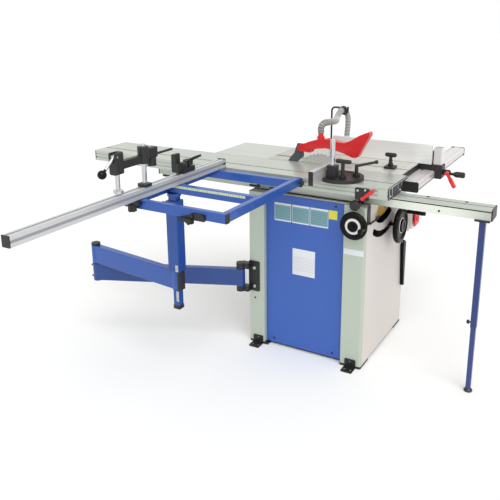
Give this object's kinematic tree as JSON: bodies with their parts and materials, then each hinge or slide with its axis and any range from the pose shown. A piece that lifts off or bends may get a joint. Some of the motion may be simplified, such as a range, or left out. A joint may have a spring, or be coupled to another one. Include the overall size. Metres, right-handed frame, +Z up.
{
  "type": "sliding table saw",
  "caption": "Cabinet table saw with a sliding carriage on a guide beam, outrigger frame with cross-cut fence, swing-arm support, tilting blade, guard with hose and rip fence.",
  "frame": {"origin": "middle of the cabinet base on the floor", "axes": "+X along the carriage toward the operator, +Y toward the rip fence, +Z up"},
  "size_m": [2.003, 2.338, 1.08],
  "materials": {
    "cream": "satin paint",
    "blue": "gloss paint",
    "white": "satin paint",
    "black_metal": "satin paint",
    "black_plastic": "moulded",
    "red_plastic": "moulded",
    "iron": "machined",
    "aluminium": "anodised",
    "steel": "ground",
    "chrome": "polished",
    "brass": "plated",
    "grey_plastic": "flexible",
    "dark_iron": "cast",
    "rubber": "moulded"
  },
  "bodies": {
    "base": {"cabinet_shell": "cream", "base_frame": "black_metal", "access_panel": "blue", "main_table": "iron", "table_insert": "aluminium", "rear_table": "white", "guide_beam": "aluminium", "beam_fittings": "black_plastic", "leg_tube": "blue", "rip_rail": "aluminium", "rail_fittings": "black_plastic", "trunnions": "brass", "dust_port": "black_plastic", "hose_rod": "black_metal", "guard_hose": "grey_plastic", "switch_box": "white", "arm_bracket": "black_metal", "slot_stop": "black_plastic"},
    "lock_knob": {"lock_knob": "black_plastic"},
    "leg_foot": {"leg_foot": "black_plastic"},
    "stop_button": {"stop_button": "red_plastic"},
    "push_stick": {"push_stick": "black_plastic"},
    "inner_arm": {"inner_arm": "blue"},
    "outer_arm": {"outer_arm": "blue", "support_post": "blue"},
    "ball_cages": {"ball_cages": "steel"},
    "carriage": {"carriage_table": "aluminium", "carriage_fittings": "black_plastic"},
    "lock_lever": {"lock_lever": "red_plastic"},
    "outrigger": {"frame_side_tubes": "blue", "frame_cross_tubes": "blue", "frame_fittings": "black_plastic"},
    "fence": {"crosscut_fence": "aluminium", "fence_fittings": "black_plastic", "clamp_post": "chrome"},
    "stop_slider": {"stop_slider": "black_plastic"},
    "stop_finger": {"stop_finger": "black_metal"},
    "clamp_arm": {"clamp_arm": "black_metal"},
    "clamp_lever": {"clamp_lever": "steel"},
    "clamp_spindle": {"clamp_spindle": "steel"},
    "mitre": {"mitre_head": "black_metal", "mitre_fence": "aluminium", "mitre_post": "chrome"},
    "mitre_lever": {"mitre_lever": "black_plastic"},
    "tilt": {"tilt_cradle": "dark_iron"},
    "height_wheel": {"height_wheel": "black_plastic"},
    "rise_screw": {"rise_screw": "steel"},
    "rise": {"arbor_housing": "dark_iron", "motor": "dark_iron", "drive_belt": "rubber", "riving_knife": "steel"},
    "arbor": {"saw_blade": "steel", "arbor": "steel"},
    "motor_pulley": {"motor_pulley": "steel"},
    "guard": {"blade_guard": "red_plastic"},
    "tilt_wheel": {"tilt_wheel": "black_plastic"},
    "rip": {"rip_saddle": "black_plastic", "rip_column": "aluminium"},
    "fence_plate": {"fence_plate": "aluminium"},
    "rip_lever": {"rip_lever": "red_plastic"}
  },
  "joints": [
    {"name": "carriage_slide", "type": "slide", "parent": "base", "child": "carriage", "axis": [1, 0, 0], "range_m": [-0.15, 0.6]},
    {"name": "cage_slide", "type": "slide", "parent": "base", "child": "ball_cages", "axis": [1, 0, 0], "range_m": [-0.075, 0.3]},
    {"name": "lock_lever_turn", "type": "hinge", "parent": "carriage", "child": "lock_lever", "pos_m": [0.284, -0.31, 0.816], "axis": [0, -1, 0], "range_deg": [0, 80]},
    {"name": "outrigger_shift", "type": "slide", "parent": "carriage", "child": "outrigger", "axis": [1, 0, 0], "range_m": [-0.15, 0.03]},
    {"name": "fence_angle", "type": "hinge", "parent": "outrigger", "child": "fence", "pos_m": [-0.411, -0.36, 0.89], "axis": [0, 0, 1], "range_deg": [-30, 45]},
    {"name": "stop_slide", "type": "slide", "parent": "fence", "child": "stop_slider", "axis": [0, 1, 0], "range_m": [-0.12, 0.22]},
    {"name": "stop_flip", "type": "hinge", "parent": "stop_slider", "child": "stop_finger", "pos_m": [-0.411, -0.64, 0.94], "axis": [0, 1, 0], "range_deg": [0, 90]},
    {"name": "clamp_swing", "type": "hinge", "parent": "fence", "child": "clamp_arm", "pos_m": [-0.411, -0.864, 1.03], "axis": [0, 0, 1], "range_deg": [-90, 90]},
    {"name": "clamp_lever_turn", "type": "hinge", "parent": "clamp_arm", "child": "clamp_lever", "pos_m": [-0.411, -1.026, 1.06], "axis": [-1, 0, 0], "range_deg": [0, 75]},
    {"name": "clamp_press", "type": "slide", "parent": "clamp_arm", "child": "clamp_spindle", "axis": [0, 0, 1], "range_m": [0, 0.0082]},
    {"name": "mitre_angle", "type": "hinge", "parent": "carriage", "child": "mitre", "pos_m": [0.157, -0.245, 0.88], "axis": [0, 0, 1], "range_deg": [-45, 45]},
    {"name": "mitre_lever_turn", "type": "hinge", "parent": "mitre", "child": "mitre_lever", "pos_m": [0.218, -0.225, 0.9], "axis": [0, 0, 1], "range_deg": [-60, 0]},
    {"name": "shoulder", "type": "hinge", "parent": "base", "child": "inner_arm", "pos_m": [-0.318, -0.315, 0.345], "axis": [0, 0, 1], "range_deg": [-18, 71]},
    {"name": "elbow", "type": "hinge", "parent": "inner_arm", "child": "outer_arm", "pos_m": [-0.966, -0.594, 0.42], "axis": [0, 0, 1], "range_deg": [-16, 5]},
    {"name": "blade_tilt", "type": "hinge", "parent": "base", "child": "tilt", "pos_m": [0, -0.032, 0.87], "axis": [-1, 0, 0], "range_deg": [0, 45], "deforming": ["guard_hose"]},
    {"name": "tilt_wheel_turn", "type": "hinge", "parent": "base", "child": "tilt_wheel", "pos_m": [0.252, -0.33, 0.694], "axis": [0, -1, 0], "range_deg": [0, 1800]},
    {"name": "blade_rise", "type": "slide", "parent": "tilt", "child": "rise", "axis": [0, 0, 1], "range_m": [-0.015, 0.03], "deforming": ["guard_hose"]},
    {"name": "height_wheel_turn", "type": "hinge", "parent": "tilt", "child": "height_wheel", "pos_m": [0.335, 0.05109, 0.60157], "axis": [1, 0, 0], "range_deg": [-900, 1800]},
    {"name": "rise_screw_turn", "type": "hinge", "parent": "tilt", "child": "rise_screw", "pos_m": [0.142, 0.05109, 0.7], "axis": [0, 0, 1], "range_deg": [-900, 1800]},
    {"name": "arbor_spin", "type": "hinge", "parent": "rise", "child": "arbor", "pos_m": [-0.035, -0.032, 0.763], "axis": [0, 1, 0], "continuous": true},
    {"name": "motor_spin", "type": "hinge", "parent": "rise", "child": "motor_pulley", "pos_m": [0.05, 0.17, 0.622], "axis": [0, 1, 0], "continuous": true},
    {"name": "guard_lift", "type": "hinge", "parent": "rise", "child": "guard", "pos_m": [-0.14, -0.032, 0.948], "axis": [0, -1, 0], "range_deg": [0, 30], "deforming": ["guard_hose"]},
    {"name": "rip_slide", "type": "slide", "parent": "base", "child": "rip", "axis": [0, 1, 0], "range_m": [-0.09, 0.5]},
    {"name": "plate_slide", "type": "slide", "parent": "rip", "child": "fence_plate", "axis": [1, 0, 0], "range_m": [0, 0.12]},
    {"name": "rip_lock", "type": "hinge", "parent": "rip", "child": "rip_lever", "pos_m": [0.496, 0.215, 0.834], "axis": [0, -1, 0], "range_deg": [0, 60]},
    {"name": "leg_slide", "type": "slide", "parent": "base", "child": "leg_foot", "axis": [0, 0, 1], "range_m": [0, 0.1]},
    {"name": "lock_knob_turn", "type": "hinge", "parent": "base", "child": "lock_knob", "pos_m": [0.249, -0.3, 0.78], "axis": [0, -1, 0], "continuous": true},
    {"name": "stop_press", "type": "slide", "parent": "base", "child": "stop_button", "axis": [-1, 0, 0], "range_m": [0, 0.006], "stiffness_N_per_m": 400},
    {"name": "push_stick_off", "type": "slide", "parent": "base", "child": "push_stick", "axis": [1, 0, 0], "range_m": [0, 0.02]}
  ],
  "couplings": [
    {"joint": "cage_slide", "follows": "carriage_slide", "ratio": 0.5},
    {"joint": "shoulder", "follows": "carriage_slide", "rad_per_m": 2.03},
    {"joint": "elbow", "follows": "carriage_slide", "rad_per_m": -0.434},
    {"joint": "tilt_wheel_turn", "follows": "blade_tilt", "ratio": 40},
    {"joint": "height_wheel_turn", "follows": "blade_rise", "rad_per_m": 1047},
    {"joint": "rise_screw_turn", "follows": "blade_rise", "rad_per_m": 1047},
    {"joint": "motor_spin", "follows": "arbor_spin", "ratio": 0.682},
    {"joint": "clamp_press", "follows": "clamp_lever_turn", "m_per_rad": 0.0061}
  ]
}
